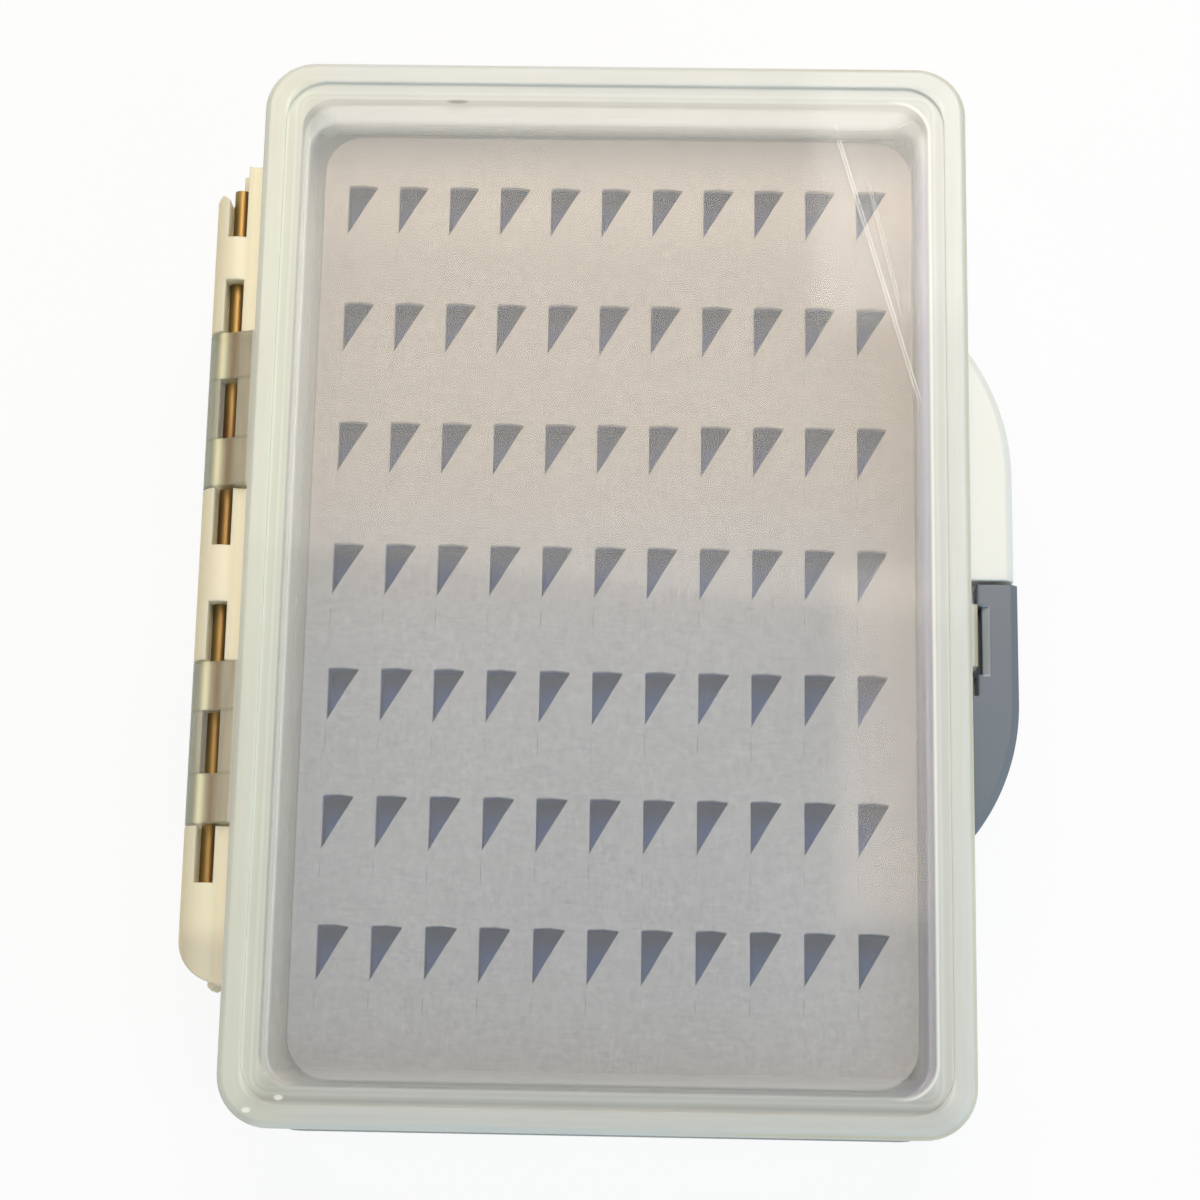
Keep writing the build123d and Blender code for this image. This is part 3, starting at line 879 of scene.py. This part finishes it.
class FLYBOX_OT_foam(bpy.types.Operator):
    """Make both slit foam pads in place of the plain ones"""

    bl_idname = "flybox.foam"
    bl_label = "Slit foam pads"

    def execute(self, context):
        foam = context.scene.fly_foam
        colours = (tuple(colour) for colour in (foam.colour, foam.cool_colour, foam.depth_colour))
        material = slit_foam(*colours, foam.corner_radius)
        for turned, node in enumerate(both("foam_pad")):
            piece = foam_pad(node.replace("foam_pad", "slit_foam"), foam, turned)
            piece.data.materials.append(material)
            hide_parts(node)
            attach(piece, "case")
        return {"FINISHED"}


class FLYBOX_OT_frame(bpy.types.Operator):
    """Finish the white frame with its hinge rails, guards and ears"""

    bl_idname = "flybox.frame"
    bl_label = "White frame"

    def execute(self, context):
        dress("body_frame", white_plastic(tuple(context.scene.fly_plastic.white)))
        return {"FINISHED"}


class FLYBOX_OT_lids(bpy.types.Operator):
    """Finish both clear lids with their milky rims"""

    bl_idname = "flybox.lids"
    bl_label = "Clear lids"

    def execute(self, context):
        plastic = context.scene.fly_plastic
        material = clear_lid(tuple(plastic.rim), tuple(plastic.window), plastic.window_haze)
        for node in both("lid"):
            dress(node, material)
        return {"FINISHED"}


class FLYBOX_OT_seals(bpy.types.Operator):
    """Finish the seal rings and the tape under the pads"""

    bl_idname = "flybox.seals"
    bl_label = "Seals and tape"

    def execute(self, context):
        rubber = seal_rubber()
        tape = adhesive_tape()
        for node in both("lid_gasket"):
            dress(node, rubber)
        for node in both("pad_adhesive"):
            dress(node, tape)
        return {"FINISHED"}


class FLYBOX_OT_latches(bpy.types.Operator):
    """Finish the grey latches"""

    bl_idname = "flybox.latches"
    bl_label = "Latches"

    def execute(self, context):
        material = grey_plastic(tuple(context.scene.fly_plastic.latch))
        for node in both("latch"):
            dress(node, material)
        return {"FINISHED"}


class FLYBOX_OT_pins(bpy.types.Operator):
    """Finish the hinge and latch pins"""

    bl_idname = "flybox.pins"
    bl_label = "Pins"

    def execute(self, context):
        material = brass_pin()
        for node in (*both("hinge_pin"), *both("latch_pin")):
            dress(node, material)
        return {"FINISHED"}


def add_lamp(name, place, size, power, colour):
    """Hang an area lamp that points at the box."""
    data = bpy.data.lights.new(name, "AREA")
    data.shape = "RECTANGLE"
    data.size, data.size_y = size
    data.energy = power
    data.color = colour
    lamp = add_object(name, data)
    lamp.location = place
    lamp.rotation_euler = (Vector(LAMP_AIM) - Vector(place)).to_track_quat("-Z", "Y").to_euler()


def add_card(name, place, size, glow):
    """Hang a glowing card that the clear lid mirrors and nothing else shows."""
    bm = bmesh.new()
    bmesh.ops.create_grid(bm, x_segments=1, y_segments=1, size=0.5)
    bmesh.ops.scale(bm, vec=(*size, 1), verts=list(bm.verts))
    bmesh.ops.translate(bm, vec=place, verts=list(bm.verts))
    card = add_mesh(name, bm)
    finish = Finish(name)
    strength = max(glow)
    light = finish.emission([part / strength for part in glow], strength)
    clear = finish.add("ShaderNodeBsdfTransparent").socket(0)
    mirrored = finish.add("ShaderNodeLightPath").field("Is Glossy Ray")
    card.data.materials.append(finish.done(finish.between(mirrored, clear, light)))


def add_floor():
    """Lay a floor that is seen nearly white and lights the box as a pale matt one."""
    bm = bmesh.new()
    bmesh.ops.create_grid(bm, x_segments=1, y_segments=1, size=FLOOR_HALF_SIZE)
    floor = add_mesh("floor", bm)
    finish = Finish("floor")
    matt = finish.add("ShaderNodeBsdfDiffuse", {}, {"Color": (*FLOOR_GREY, 1.0)}).socket(0)
    seen = finish.seen_direct() * FLOOR_GLOW
    surface = finish.between(seen, matt, finish.emission(WHITE, 1.0))
    floor.data.materials.append(finish.done(surface))


def add_world(strength):
    """Light from all round: white where it is seen, and a pale blue where it lights."""
    world = bpy.data.worlds.new("surroundings")
    bpy.context.scene.world = world
    nodes = Nodes(world)
    sky = nodes.background(SKY_BLUE, strength)
    surface = nodes.between(nodes.seen_direct(), sky, nodes.background(WHITE, 1.0))
    nodes.add("ShaderNodeOutputWorld", {}, {"Surface": surface})


def add_camera(stage):
    data = bpy.data.cameras.new("camera")
    data.lens = stage.lens
    data.clip_start, data.clip_end = CAMERA_CLIP
    camera = add_object("camera", data)
    camera.location = stage.camera_place
    camera.rotation_euler = stage.camera_turn
    bpy.context.scene.camera = camera


class FLYBOX_OT_stage(bpy.types.Operator):
    """Set the floor, the lamps, the surroundings and the camera"""

    bl_idname = "flybox.stage"
    bl_label = "Stage"

    def execute(self, context):
        stage = context.scene.fly_stage
        add_floor()
        add_world(stage.sky)
        for name, place, size, power, colour in LAMPS:
            add_lamp(name, place, size, getattr(stage, power), colour)
        for card in CARDS:
            add_card(*card)
        add_camera(stage)
        context.scene.view_settings.view_transform = "Standard"
        return {"FINISHED"}


class FLYBOX_PT_panel(bpy.types.Panel):
    """Lists the steps and their settings in the sidebar"""

    bl_label = "Fly Box"
    bl_idname = "FLYBOX_PT_panel"
    bl_space_type = "VIEW_3D"
    bl_region_type = "UI"
    bl_category = "Fly Box"

    def draw(self, context):
        scene = context.scene
        for settings in (scene.fly_foam, scene.fly_plastic, scene.fly_stage):
            column = self.layout.column(align=True)
            for name in settings.__annotations__:
                column.prop(settings, name)
        for step in STEPS:
            self.layout.operator(step.bl_idname)


STEPS = (
    FLYBOX_OT_frame,
    FLYBOX_OT_lids,
    FLYBOX_OT_seals,
    FLYBOX_OT_foam,
    FLYBOX_OT_latches,
    FLYBOX_OT_pins,
    FLYBOX_OT_stage,
)
SETTINGS = {"fly_foam": FoamSettings, "fly_plastic": PlasticSettings, "fly_stage": StageSettings}


def register():
    for name, group in SETTINGS.items():
        bpy.utils.register_class(group)
        setattr(bpy.types.Scene, name, bpy.props.PointerProperty(type=group))
    for step in (*STEPS, FLYBOX_PT_panel):
        bpy.utils.register_class(step)


def unregister():
    for step in reversed((*STEPS, FLYBOX_PT_panel)):
        bpy.utils.unregister_class(step)
    for name, group in SETTINGS.items():
        delattr(bpy.types.Scene, name)
        bpy.utils.unregister_class(group)


def main():
    register()
    for step in STEPS:
        getattr(bpy.ops.flybox, step.bl_idname.split(".")[1])()


if __name__ == "__main__":
    main()
